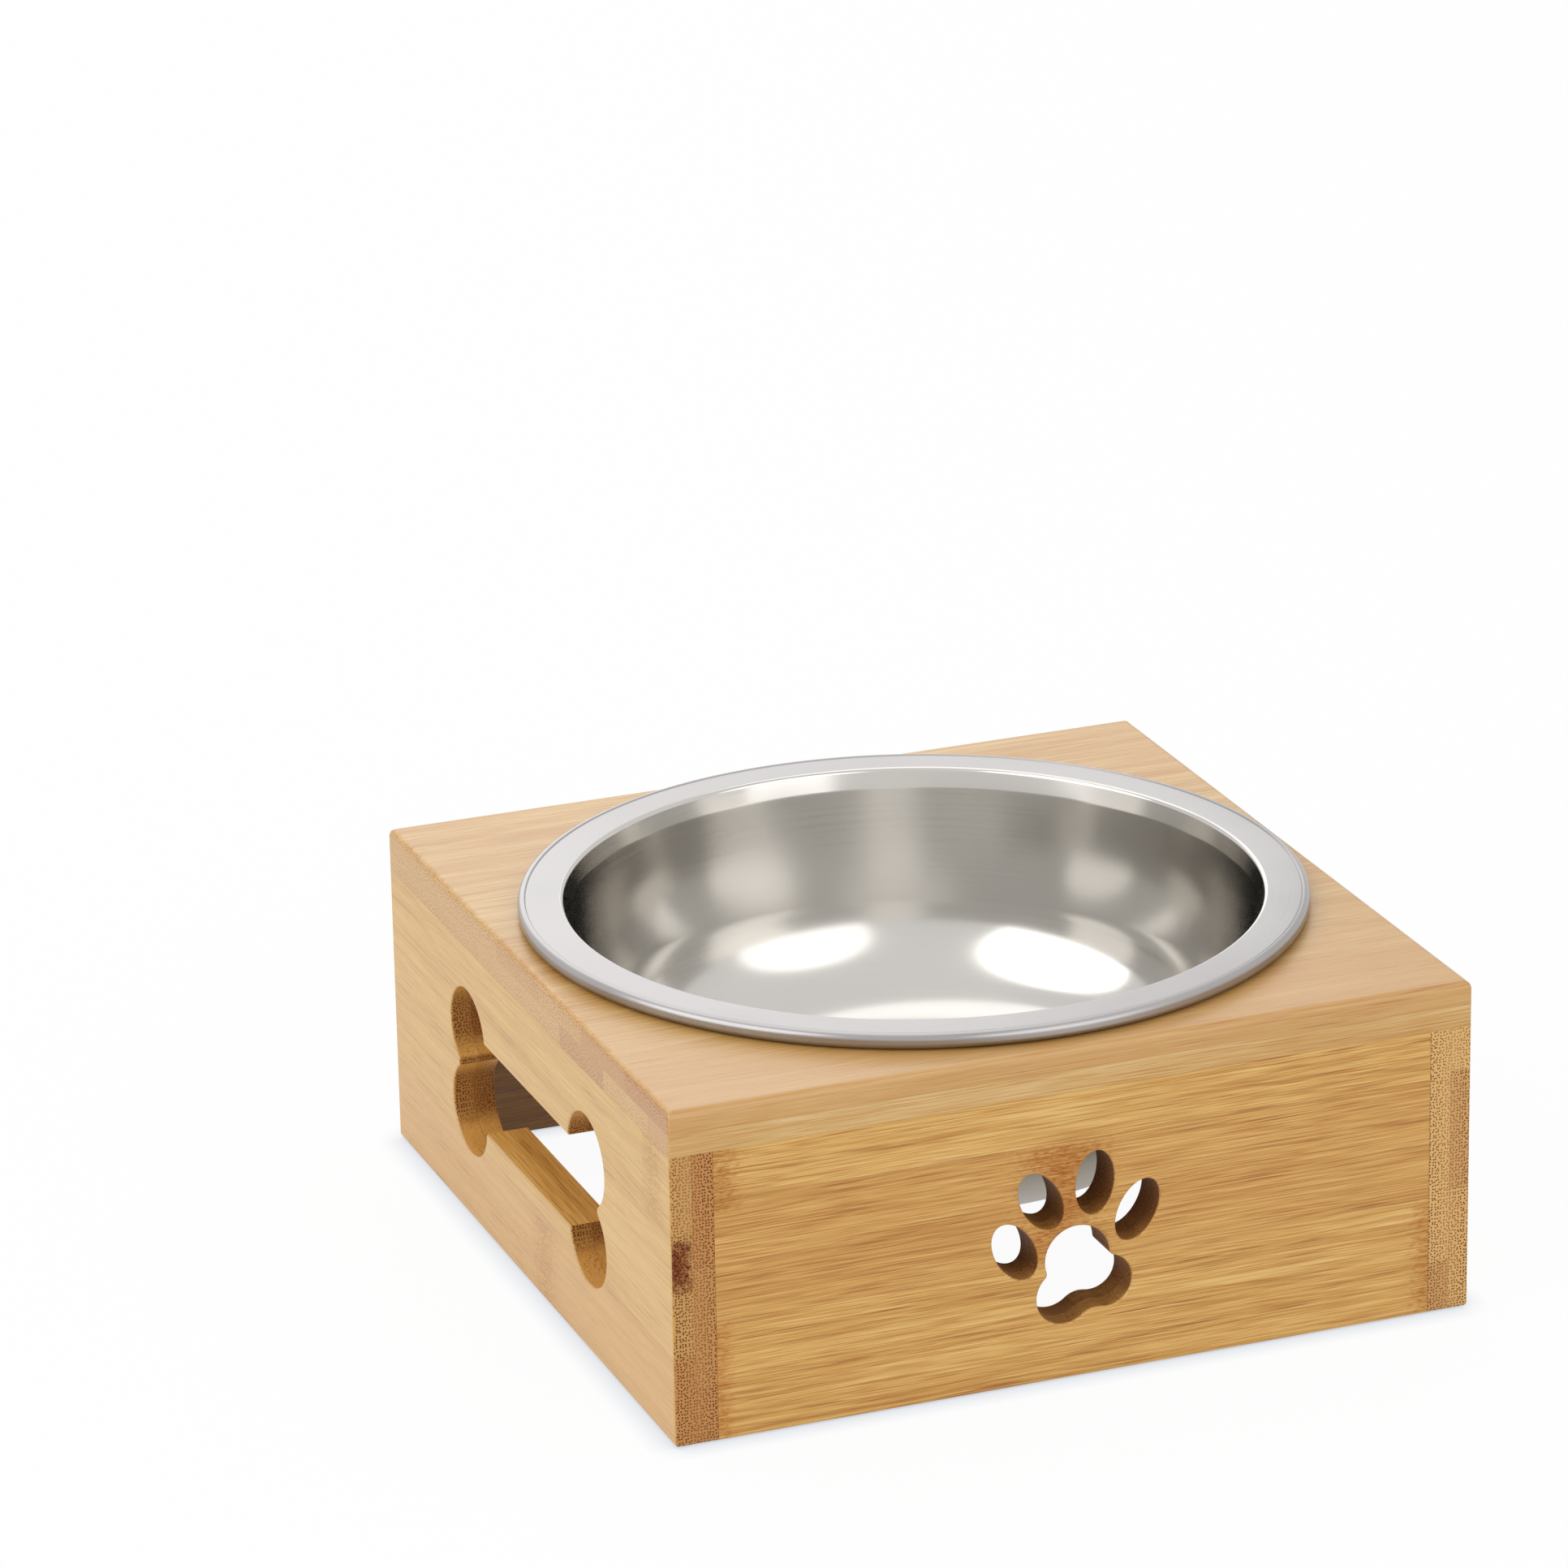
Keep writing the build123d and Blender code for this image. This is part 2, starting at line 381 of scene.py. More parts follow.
boneCutPaintedLightLook = dict(  # in the bones: raw, dull and dotted, and paler than the faces as painted light, for the light that falls into them
    routedAndShadedLook,
    tones=((0.0, "#bd8238"), (0.3, "#d49c4b"), (0.5, "#ebb05a"), (0.7, "#f3bd69"), (1.0, "#f8cc7e")),
    pink="#e09a4d",
    bundle="#87501c",
    endGround="#b67b3e",
    endPink="#945823",
    endDot="#3a1e0a",
    glue="#4a2a10",
    dotShare=(0.7, 1.0),
    rough=(0.42, 0.55),
)

markHold = {"node": 9, "stain": 2}  # how square a mark is


def perMm(length, width):  # scale of a pattern whose features are so long and wide
    return (1 / length, 1 / width, 1 / width)


# The ply and the slat that a point is in: random numbers for that slat, and the glue lines about it
def slatNodes(tree, look, across, through, layout):
    ply = addNode(tree, "Math", {0: through, 1: 0.0}, operation="GREATER_THAN")
    plyShift = addNode(
        tree, "Math", {0: ply, 1: layout["stagger"], 2: layout["shift"]}, operation="MULTIPLY_ADD")
    lane = addNode(
        tree, "Math", {0: across, 1: 1 / look["slatWidth"], 2: plyShift}, operation="MULTIPLY_ADD")
    number = addNode(tree, "Math", {0: lane}, operation="FLOOR")
    apart = addNode(tree, "Math", {0: ply, 1: 37.0, 2: number}, operation="MULTIPLY_ADD")  # plies differ
    slatKey = addNode(tree, "Math", {0: apart, 1: layout["seed"]}, operation="ADD")
    slat = addNode(tree, "TexWhiteNoise", {"W": slatKey}, out="Color", noise_dimensions="1D")
    inSlat = addNode(tree, "Math", {0: lane}, operation="FRACT")
    fromSeam = addNode(tree, "Math", {0: inSlat, 1: 0.5}, operation="SUBTRACT")
    fromSeam = addNode(tree, "Math", {0: fromSeam}, operation="ABSOLUTE")
    seamAt = 0.5 - look["slatSeam"] / look["slatWidth"]
    slatSeam = addNode(tree, "MapRange", {0: fromSeam, 1: seamAt, 2: 0.5})
    fromPly = addNode(tree, "Math", {0: through}, operation="ABSOLUTE")
    plySeam = addNode(tree, "MapRange", {0: fromPly, 1: look["plySeam"][0], 2: look["plySeam"][1]})
    seam = addNode(tree, "Math", {0: slatSeam, 1: plySeam}, operation="MAXIMUM")
    return slat, fromPly, seam


# Where each mark is, fading out raggedly along the slat and held by the slat's edges
def markNodes(tree, inMm, wave, marks):
    ragged = addNode(tree, "MapRange", {0: wave, 1: noiseLow, 2: noiseHigh, 3: -0.25, 4: 0.25})
    bands = []
    for mark in marks:
        away = addNode(tree, "VectorMath", {0: inMm, 1: mark["at"]}, operation="SUBTRACT")
        away = addNode(tree, "VectorMath", {0: away, 1: mark["half"]}, operation="DIVIDE")
        away = addNode(tree, "VectorMath", {0: away}, operation="ABSOLUTE")
        away = addNode(tree, "SeparateXYZ", {0: away}, out=None).outputs
        edge = addNode(tree, "Math", {0: away[1], 1: away[2]}, operation="MAXIMUM")
        edge = addNode(tree, "Math", {0: edge, 1: markHold[mark["kind"]]}, operation="POWER")
        edge = addNode(tree, "Math", {0: edge, 1: away[0]}, operation="MAXIMUM")
        edge = addNode(tree, "Math", {0: edge, 1: ragged}, operation="ADD")
        band = addNode(tree, "MapRange", {0: edge, 1: 1.0, 2: 0.0}, interpolation_type="SMOOTHSTEP")
        bands.append(band)
    return bands


# Places along the fibres, which wander a little, and more at a node
def fibreNodes(tree, look, own, waves, bands):
    marked = 0.0
    for band in bands:
        marked = addNode(tree, "Math", {0: marked, 1: band}, operation="MAXIMUM")
    slow = addNode(tree, "VectorMath", {0: own, 1: perMm(*look["sway"])}, operation="MULTIPLY")
    drift = addNode(tree, "TexNoise", {"Vector": slow, "Scale": 1.0, "Detail": 1.0}, out="Color")
    bend = addNode(tree, "Math", {0: marked, 1: look["knotBend"]}, operation="MULTIPLY")
    drift = addNode(tree, "Mix", {0: bend, 4: drift, 5: waves}, out=1, data_type="VECTOR")
    drift = addNode(tree, "VectorMath", {0: drift, 1: (0.5, 0.5, 0.5)}, operation="SUBTRACT")
    reach = look["wander"] * 4  # the noise strays a quarter from its middle
    drift = addNode(tree, "VectorMath", {0: drift, 1: (0, reach, reach)}, operation="MULTIPLY")
    return addNode(tree, "VectorMath", {0: own, 1: drift}, operation="ADD")


# The long faces: noises that darken and lighten the slat's own tone, and fibre bundles as thin tapered
# streaks in loose groups
def faceNodes(tree, look, fibre, chance):
    tone = addNode(tree, "MapRange", {0: chance[0], 3: look["slatTone"][0], 4: look["slatTone"][1]})
    shades = []
    for length, width, gain in look["grain"]:
        spot = addNode(tree, "VectorMath", {0: fibre, 1: perMm(length, width)}, operation="MULTIPLY")
        shade = addNode(tree, "TexNoise", {"Vector": spot, "Scale": 1.0, "Detail": 2.0})
        shades.append(shade)
        part = addNode(tree, "MapRange", {0: shade, 1: noiseLow, 2: noiseHigh, 3: -gain, 4: gain})
        tone = addNode(tree, "Math", {0: tone, 1: part}, operation="ADD")
    fine, broad = shades[0], shades[2]
    ground = addNode(tree, "ValToRGB", {0: tone}, stops=look["tones"])
    blush = addNode(tree, "MapRange", {0: chance[1], 1: 0.3, 2: 0.9, 3: 0.0, 4: look["blush"]})
    ground = addNode(tree, "Mix", {0: blush, 6: ground, 7: linear(look["pink"])}, out=2, data_type="RGBA")
    cells = addNode(tree, "VectorMath", {0: fibre, 1: perMm(*look["streak"])}, operation="MULTIPLY")
    cell = addNode(tree, "TexVoronoi", {"Vector": cells, "Scale": 1.0, "Randomness": 0.9})
    core, clear = look["streakSize"]
    bundle = addNode(tree, "MapRange", {0: cell, 1: clear, 2: core}, interpolation_type="SMOOTHSTEP")
    alone, grouped = look["bundleShare"]
    group = addNode(tree, "MapRange", {0: broad, 1: 0.56, 2: 0.36, 3: alone, 4: grouped})
    streak = addNode(tree, "Math", {0: bundle, 1: group}, operation="MULTIPLY")
    face = addNode(tree, "Mix", {0: streak, 6: ground, 7: linear(look["bundle"])}, out=2, data_type="RGBA")
    return face, ground, fine, bundle


# The ends, where the bundles are dots, darker towards the board's outside
def endNodes(tree, look, across, through, fromPly, chance, ground):
    flat = addNode(tree, "CombineXYZ", {0: across, 1: through})
    flat = addNode(tree, "VectorMath", {0: flat, "Scale": 1 / look["dot"]}, operation="SCALE")
    cell = addNode(
        tree, "TexVoronoi", {"Vector": flat, "Scale": 1.0, "Randomness": 0.6}, voronoi_dimensions="2D")
    core, clear = look["dotSize"]
    dot = addNode(tree, "MapRange", {0: cell, 1: clear, 2: core}, interpolation_type="SMOOTHSTEP")
    faint, strong = look["dotShare"]
    strength = addNode(tree, "MapRange", {0: chance[2], 3: faint, 4: strong})
    outside, sparse, dense = look["crowd"]
    crowd = addNode(tree, "MapRange", {0: fromPly, 1: 0.0, 2: outside, 3: sparse, 4: dense})
    strength = addNode(tree, "Math", {0: strength, 1: crowd}, operation="MULTIPLY")
    dot = addNode(tree, "Math", {0: dot, 1: strength}, operation="MULTIPLY", use_clamp=True)
    brown = addNode(tree, "MapRange", {0: chance[1], 1: 0.25, 2: 0.65})
    pale, dark = linear(look["endGround"]), linear(look["endPink"])
    endGround = addNode(tree, "Mix", {0: brown, 6: pale, 7: dark}, out=2, data_type="RGBA")
    endGround = addNode(tree, "Mix", {0: 0.2, 6: endGround, 7: ground}, out=2, data_type="RGBA")
    ends = addNode(tree, "Mix", {0: dot, 6: endGround, 7: linear(look["endDot"])}, out=2, data_type="RGBA")
    return ends, dot


def bambooMaterial(name, look, layout, marks):
    material, tree = newMaterial(name)
    place = addNode(tree, "TexCoord", out=None).outputs
    split = addNode(tree, "SeparateXYZ", {0: place["Object"]}, out=None).outputs
    grain = layout["grain"]
    order = addNode(tree, "CombineXYZ", {i: split[axis] for i, axis in enumerate(grain)})
    fromMiddle = [-value for value in layout["middle"]]
    inMm = addNode(tree, "Mapping", {"Vector": order, "Scale": (1000, 1000, 1000), "Location": fromMiddle})
    grid = addNode(tree, "SeparateXYZ", {0: inMm}, out=None).outputs
    across, through = grid[1], grid[2]
    slat, fromPly, seam = slatNodes(tree, look, across, through, layout)
    chance = addNode(tree, "SeparateColor", {0: slat}, out=None).outputs

    # each slat has its own piece of the pattern
    jump = addNode(tree, "VectorMath", {0: slat, 1: (400, 90, 0)}, operation="MULTIPLY")
    own = addNode(tree, "VectorMath", {0: inMm, 1: jump}, operation="ADD")
    quick = addNode(tree, "VectorMath", {0: own, 1: perMm(*look["knot"])}, operation="MULTIPLY")
    waves = addNode(tree, "TexNoise", {"Vector": quick, "Scale": 1.0, "Detail": 1.0}, out=None).outputs
    bands = markNodes(tree, inMm, waves["Fac"], marks)
    fibre = fibreNodes(tree, look, own, waves["Color"], bands)
    face, ground, fine, bundle = faceNodes(tree, look, fibre, chance)
    ends, dot = endNodes(tree, look, across, through, fromPly, chance, ground)

    facing = addNode(tree, "SeparateXYZ", {0: place["Normal"]}, out=grain[0])
    facing = addNode(tree, "Math", {0: facing}, operation="ABSOLUTE")
    endOn = addNode(tree, "MapRange", {0: facing, 1: 0.6, 2: 0.95}, interpolation_type="SMOOTHSTEP")
    colour = addNode(tree, "Mix", {0: endOn, 6: face, 7: ends}, out=2, data_type="RGBA")
    pores = addNode(tree, "Math", {0: dot, 1: endOn}, operation="MULTIPLY")

    # a mark is a warm tint and short dark dashes, and a stain is on the end alone
    dashes = addNode(tree, "VectorMath", {0: fibre, 1: perMm(*look["dash"])}, operation="MULTIPLY")
    dash = addNode(tree, "TexNoise", {"Vector": dashes, "Scale": 1.0, "Detail": 1.0})
    for band, mark in zip(bands, marks):
        least = mark["tint"] * 0.6
        most = min(least + 0.55, 1.0)
        share = addNode(tree, "MapRange", {0: dash, 1: 0.42, 2: 0.68, 3: least, 4: most})
        share = addNode(tree, "Math", {0: share, 1: band}, operation="MULTIPLY")
        if mark["kind"] == "stain":
            share = addNode(tree, "Math", {0: share, 1: endOn}, operation="MULTIPLY")
        pores = addNode(tree, "Math", {0: pores, 1: share}, operation="MAXIMUM")
        tint = linear(mark["colour"])
        colour = addNode(tree, "Mix", {0: share, 6: colour, 7: tint}, out=2, data_type="RGBA")
    seamShare = addNode(tree, "Math", {0: seam, 1: look["glueShare"]}, operation="MULTIPLY")
    glue = linear(look["glue"])
    colour = addNode(tree, "Mix", {0: seamShare, 6: colour, 7: glue}, out=2, data_type="RGBA")

    smooth, dull = look["rough"]
    rough = addNode(tree, "MapRange", {0: fine, 1: noiseLow, 2: noiseHigh, 3: smooth, 4: dull})
    gloss = addNode(tree, "MapRange", {0: pores, 3: look["gloss"][0], 4: look["gloss"][1]})
    height = addNode(tree, "Math", {0: bundle, 1: -0.6, 2: fine}, operation="MULTIPLY_ADD")  # they lie low
    bump = addNode(tree, "Bump", {"Height": height, "Strength": 0.5, "Distance": look["grit"] * mm})
    shader = addNode(tree, "BsdfPrincipled", {
        "Base Color": colour, "Roughness": rough, "Normal": bump, "IOR": look["ior"],
        "Specular IOR Level": gloss})
    addNode(tree, "OutputMaterial", {0: shader}, out=None)
    return material


# Boards

boardLook = {  # mm
    "hole": 85.8,       # radius of the round hole
    "holeSides": 256,
    "round": 1.7,       # upper edge of the top board
    "corner": 0.6,      # upright corners
    "foot": 0.8,        # lower outer edges
    "rim": 0.5,         # edges of the cut-outs
    "holeEdge": 1.0,    # round hole, under the bowl's flange
    "joint": 0.06,      # where two boards meet
    "dowelPlay": 0.05, "dowelSpare": 1.0,
    "footPlay": 0.05,
    "socketSides": 48,  # holes for dowels and feet
    "segments": 4,
    "smoothAngle": 35,  # degrees
}


def dowelCutters(pairs):  # round holes a little wider and longer than the dowels in these nodes
    cutters = []
    for name in pairs:
        low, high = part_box(name)
        size = high - low
        axis = 2 if name.endswith("_top_dowels") else 0
        pairAxis = max((i for i in range(3) if i != axis), key=lambda i: size[i])
        radius = min(size) / 2
        for end in (low[pairAxis] + radius, high[pairAxis] - radius):
            centre = (low + high) / 2
            centre[pairAxis] = end
            turn = (0, 0, 0) if axis == 2 else (0, math.radians(90), 0)
            bpy.ops.object.select_all(action="DESELECT")
            bpy.ops.mesh.primitive_cylinder_add(
                vertices=boardLook["socketSides"], radius=radius + boardLook["dowelPlay"] * mm,
                depth=size[axis] + 2 * boardLook["dowelSpare"] * mm, location=centre, rotation=turn)
            cutters.append(newPiece("dowelCutter"))
    return cutters


def footCutters(names):  # flat-bottomed seats for the feet
    cutters = []
    for name in names:
        low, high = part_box(name)
        bpy.ops.object.select_all(action="DESELECT")
        bpy.ops.mesh.primitive_cylinder_add(
            vertices=boardLook["socketSides"], radius=(high.x - low.x) / 2 + boardLook["footPlay"] * mm,
            depth=high.z - low.z, location=(low + high) / 2)
        cutters.append(newPiece("footCutter"))
    return cutters


def weighEdges(board, width, test):  # in edit mode: marks edges for the one bevel that rounds them all
    bpy.ops.mesh.select_mode(type="EDGE")
    bpy.ops.mesh.select_all(action="DESELECT")
    shape = bmesh.from_edit_mesh(board.data)
    for edge in shape.edges:
        if test(edge):
            edge.select_set(True)
    shape.select_flush_mode()
    bmesh.update_edit_mesh(board.data)
    bpy.ops.transform.edge_bevelweight(value=width / boardLook["round"])


def makeBoard(name, node, cutters, hidden, materials, edges):
    low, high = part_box(node)
    bpy.ops.object.select_all(action="DESELECT")
    bpy.ops.mesh.primitive_cube_add(size=1, location=(low + high) / 2)
    bpy.context.object.scale = high - low
    board = newPiece(name)
    for material in materials:
        board.data.materials.append(material)
    for cutter in cutters + hidden:
        cutter.data.materials.clear()
        cutter.data.materials.append(materials[1])
    cutAway(board, cutters)
    startOn(board)
    bpy.ops.object.mode_set(mode="EDIT")
    for width, test in edges:
        weighEdges(board, width, test)
    bpy.ops.object.mode_set(mode="OBJECT")
    applyModifier(
        board, "BEVEL", width=boardLook["round"] * mm, segments=boardLook["segments"],
        limit_method="WEIGHT", use_clamp_overlap=False, material=0)
    cutAway(board, hidden)
    smoothPiece(board, boardLook["smoothAngle"])
    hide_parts(node)
    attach(board, "stand")
    print("made", name)


near = 0.05 * mm  # what counts as on a plane
standLow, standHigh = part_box("top_panel")
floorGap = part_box("left_panel")[0].z
wallTop = standLow.z
boardMiddle = (floorGap + wallTop) / 2
halfWidth, halfDepth = standHigh.x, standHigh.y
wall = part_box("left_panel")[1].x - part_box("left_panel")[0].x
innerX = halfWidth - wall
leftFace, rightFace = (0, -halfWidth), (0, halfWidth)  # planes, as an axis and a place on it
frontFace, backFace = (1, -halfDepth), (1, halfDepth)


def along(edge, axis):
    direction = (edge.verts[1].co - edge.verts[0].co).normalized()
    return abs(direction[axis]) > 0.999


def at(edge, axis, value):
    return all(abs(vert.co[axis] - value) < near for vert in edge.verts)


def onOne(edge, *planes):
    return any(at(edge, axis, value) for axis, value in planes)


def onRim(edge, axis, value):  # on the outer face, with one face beside it that isn't flat on that face
    if not at(edge, axis, value) or len(edge.link_faces) != 2:
        return False
    outer = max(abs(vert.co[i]) for vert in edge.verts for i in range(3) if i not in (axis, 2))
    upright = [vert.co.z for vert in edge.verts]
    inner = outer < (innerX if axis == 1 else halfDepth) - near
    free = min(upright) > floorGap + near and max(upright) < wallTop - near
    return inner and free and any(abs(face.normal[axis]) < 0.5 for face in edge.link_faces)


def onHole(edge):  # on the upper rim of the round hole
    inside = edge.verts[0].co.xy.length < halfWidth - near
    return at(edge, 2, standHigh.z) and inside and any(abs(face.normal.z) < 0.5 for face in edge.link_faces)


def frontEdges(side):  # side is -1 for the front, 1 for the back
    outer = (1, side * halfDepth)
    joints = ((2, wallTop), (0, innerX), (0, -innerX))
    return [
        (boardLook["rim"], lambda edge: onRim(edge, *outer)),
        (boardLook["foot"], lambda edge: along(edge, 0) and at(edge, *outer) and at(edge, 2, floorGap)),
        (boardLook["joint"], lambda edge: at(edge, *outer) and onOne(edge, *joints)),
    ]


def sideEdges(side):  # side is -1 for the left, 1 for the right
    outer, inner = (0, side * halfWidth), (0, side * innerX)
    ends = (frontFace, backFace)
    return [
        (boardLook["rim"], lambda edge: onRim(edge, *outer)),
        (boardLook["corner"], lambda edge: along(edge, 2) and at(edge, *outer) and onOne(edge, *ends)),
        (boardLook["foot"], lambda edge: (
            at(edge, 2, floorGap) and not at(edge, *inner) and onOne(edge, outer, *ends))),
        (boardLook["joint"], lambda edge: at(edge, 2, wallTop) and onOne(edge, outer, *ends)),
        (boardLook["joint"], lambda edge: along(edge, 2) and at(edge, *inner) and onOne(edge, *ends)),
    ]


topSides = (leftFace, rightFace, frontFace, backFace)
topEdges = [
    (boardLook["round"], lambda edge: at(edge, 2, standHigh.z) and onOne(edge, *topSides)),
    (boardLook["corner"], lambda edge: along(edge, 2) and onOne(edge, leftFace, rightFace)),
    (boardLook["joint"], lambda edge: at(edge, 2, standLow.z) and onOne(edge, *topSides)),
    (boardLook["holeEdge"], onHole),
]

topMiddle = (standLow.z + standHigh.z) / 2 / mm
wallMiddle = boardMiddle / mm
plyAt = (halfWidth - wall / 2) / mm

# The looks of each board's faces and cut-outs, its grain, cross and ply directions and its middle in mm.
# shift and stagger place the slats of its two plies, and seed picks their tones. A mark has its middle and
# half size, in mm along, across and through the board, and how deeply it is tinted.
boards = {
    "top": {
        "faces": bambooLook, "cuts": routedAndShadedLook, "grain": "XYZ", "middle": (0, 0, topMiddle),
        "shift": 0.893, "stagger": 0.507, "seed": 35618.0,
        "marks": ()},
    "front": {
        "faces": frontLook, "cuts": routedAndShadedLook, "grain": "XZY", "middle": (0, wallMiddle, -plyAt),
        "shift": 0.215, "stagger": 0.46, "seed": 3956.0,
        "marks": (
            {"kind": "node", "at": (-4, 8.6, -3), "half": (15, 15, 5), "tint": 0.6, "colour": "#a1591f"},
            {"kind": "node", "at": (-88, 29, -3), "half": (7, 9, 5), "tint": 0.45, "colour": "#a05a22"},
            {"kind": "node", "at": (-89, -21, -3), "half": (4.5, 15, 5), "tint": 0.4, "colour": "#b0622a"},
            {"kind": "node", "at": (89, -21, -3), "half": (6, 15, 5), "tint": 0.3, "colour": "#a1591f"})},
    "back": {
        "faces": frontLook, "cuts": routedAndShadedLook, "grain": "XZY", "middle": (0, wallMiddle, plyAt),
        "shift": 0.4, "stagger": 0.52, "seed": 19.0,
        "marks": (
            {"kind": "node", "at": (52, 9, 3), "half": (13, 12, 5), "tint": 0.25, "colour": "#a1591f"},
            {"kind": "node", "at": (-60, -21, 3), "half": (11, 15, 5), "tint": 0.25, "colour": "#a1591f"})},
    "left": {
        "faces": sideLook, "cuts": boneCutPaintedLightLook, "grain": "YZX", "middle": (0, wallMiddle, -plyAt),
        "shift": 0.458, "stagger": 0.284, "seed": 26939.0,
        "marks": (
            {"kind": "node", "at": (-11, -28.8, -3), "half": (12, 15, 5), "tint": 0.1, "colour": "#a4622c"},
            {"kind": "node", "at": (-88, 31, -3), "half": (9, 15, 5), "tint": 0.1, "colour": "#a4622c"},
            {"kind": "stain", "at": (-100, 9, -3.8), "half": (3.5, 8, 4.2), "tint": 1.2,
             "colour": "#5c1206"})},
    "right": {
        "faces": rightLook, "cuts": boneCutPaintedLightLook, "grain": "YZX", "middle": (0, wallMiddle, plyAt),
        "shift": 0.77, "stagger": 0.4, "seed": 5184.0,
        "marks": (
            {"kind": "node", "at": (60, -15, 3), "half": (12, 15, 5), "tint": 0.2, "colour": "#a4622c"},)},
}


def boardMaterials(board):  # lacquered for the faces and raw for the cut-outs, whose colours carry painted shade in the paws and the round hole and painted light in the bones
    layout = boards[board]
    lacquered = bambooMaterial(f"lacqueredBamboo_{board}", layout["faces"], layout, layout["marks"])
    routed = bambooMaterial(f"routedBamboo_{board}", layout["cuts"], layout, ())
    return lacquered, routed


bpy.ops.object.select_all(action="DESELECT")
bpy.ops.mesh.primitive_cylinder_add(
    vertices=boardLook["holeSides"], radius=boardLook["hole"] * mm, depth=3 * wall,
    location=(0, 0, topMiddle * mm))
bowlHole = newPiece("bowlHoleCutter")
topPairs = [f"{side}_top_dowels" for side in ("front", "back", "left", "right")]
makeBoard("topBoard", "top_panel", [bowlHole], dowelCutters(topPairs), boardMaterials("top"), topEdges)

cutLow, cutHigh = halfWidth - 2 * wall, halfWidth + wall
for end, side, turn in (("front", -1, 0), ("back", 1, 180)):
    paw = standUp(pawCutters(pawShape, cutLow, cutHigh), turn, boardMiddle)
    dowels = dowelCutters([f"{end}_left_dowels", f"{end}_right_dowels", f"{end}_top_dowels"])
    makeBoard(f"{end}Board", f"{end}_panel", [paw], dowels, boardMaterials(end), frontEdges(side))
for hand, side, turn in (("left", -1, -90), ("right", 1, 90)):
    bone = standUp(boneCutter(boneShape, cutLow, cutHigh), turn, boardMiddle)
    dowels = dowelCutters([f"front_{hand}_dowels", f"back_{hand}_dowels", f"{hand}_top_dowels"])
    feet = footCutters([f"front_{hand}_foot", f"back_{hand}_foot"])
    makeBoard(f"{hand}Board", f"{hand}_panel", [bone], dowels + feet, boardMaterials(hand), sideEdges(side))


# Bowl

bowlShape = {  # mm, on the sheet's upper face
    "sheet": 0.7,
    "floorRound": 32.0,
    "draft": 8.0,           # degrees
    "mouth": 84.3,
    "mouthRound": 1.1,
    "band": 5.0, "bandDraft": 12.0, "bandRound": 8.0,  # the wall flares a little under the mouth
    "groove": 93.3, "grooveDepth": 0.15, "grooveWidth": 0.6,
    "rollRound": 1.45,
    "lip": 2.6, "seat": 0.3,
    "brushedFrom": 0.6,     # share of the mouth's rounding, from the mouth outwards
    "pressedFrom": 3.0,     # below the top
    "steps": 192,           # round the bowl
    "arcStep": 5.0,         # degrees
    "smoothAngle": 40,      # degrees
}

# Stainless steel, spun and then brushed with the flange turning: a satin grey that spreads the light across
# its fine rings, with faint streaks and slow lighter and darker patches of painted reflection in its
# colour.
# rings is how many there are to a millimetre, grit how high they are in mm, dark the colour's darkest
# share, in the rings and the painted reflection, and brush how much more the light spreads across them than
# along.
flangeLook = {
    "colour": "#b3b0af", "dark": 0.68, "rough": (0.26, 0.36), "rings": 5.0, "grit": 0.004, "brush": 0.65}

# The same steel with the polish of the pressing die, inside: clear, slightly rippled reflections.
insideLook = {
    "colour": "#cbc8c3", "dark": 0.9, "rough": (0.12, 0.18), "rings": 1.2, "grit": 0.002, "brush": 0.2}

# Outside, as the press leaves it: a soft grey with a little more scatter.
outsideLook = {
    "colour": "#bab4a9", "dark": 0.9, "rough": (0.34, 0.46), "rings": 2.0, "grit": 0.004, "brush": 0.3}


def steelMaterial(name, look):
    material, tree = newMaterial(name)
    place = addNode(tree, "TexCoord", out="Object")
    split = addNode(tree, "SeparateXYZ", {0: place}, out=None).outputs
    flat = addNode(tree, "VectorMath", {0: place, 1: (1, 1, 0)}, operation="MULTIPLY")
    radius = addNode(tree, "VectorMath", {0: flat}, out="Value", operation="LENGTH")
    turn = addNode(tree, "Math", {0: split[1], 1: split[0]}, operation="ARCTAN2")
    rise = addNode(tree, "Math", {0: split[2], 1: look["rings"] / mm}, operation="MULTIPLY")
    ring = addNode(tree, "Math", {0: radius, 1: look["rings"] / mm}, operation="MULTIPLY")
    spot = addNode(tree, "CombineXYZ", {0: ring, 1: turn, 2: rise})
    lines = addNode(tree, "TexNoise", {"Vector": spot, "Scale": 1.0, "Detail": 3.0, "Roughness": 0.6})
    # slow lighter and darker patches in the colour, a painted reflection, mixed with the brushed rings
    paintedReflection = addNode(tree, "TexNoise", {"Vector": place, "Scale": 14.0, "Detail": 2.0})
    paintedReflection = addNode(tree, "MapRange", {0: paintedReflection, 1: noiseLow, 2: noiseHigh})
    blend = addNode(tree, "Mix", {0: 0.35, 2: paintedReflection, 3: lines}, data_type="FLOAT")
    smooth, dull = look["rough"]
    rough = addNode(tree, "MapRange", {0: blend, 1: 0.35, 2: 0.65, 3: smooth, 4: dull})
    light = linear(look["colour"])
    dark = [value * look["dark"] for value in light[:3]] + [1.0]
    colour = addNode(tree, "Mix", {0: blend, 6: dark, 7: light}, out=2, data_type="RGBA")
    bump = addNode(tree, "Bump", {"Height": lines, "Strength": 0.6, "Distance": look["grit"] * mm})
    aside = addNode(tree, "Math", {0: split[1], 1: -1.0}, operation="MULTIPLY")
    alongRings = addNode(tree, "CombineXYZ", {0: aside, 1: split[0]})
    shader = addNode(tree, "BsdfPrincipled", {
        "Base Color": colour, "Metallic": 1.0, "Roughness": rough, "Normal": bump,
        "Tangent": alongRings, "Anisotropic": look["brush"], "Anisotropic Rotation": 0.25})
    addNode(tree, "OutputMaterial", {0: shader}, out=None)
    return material


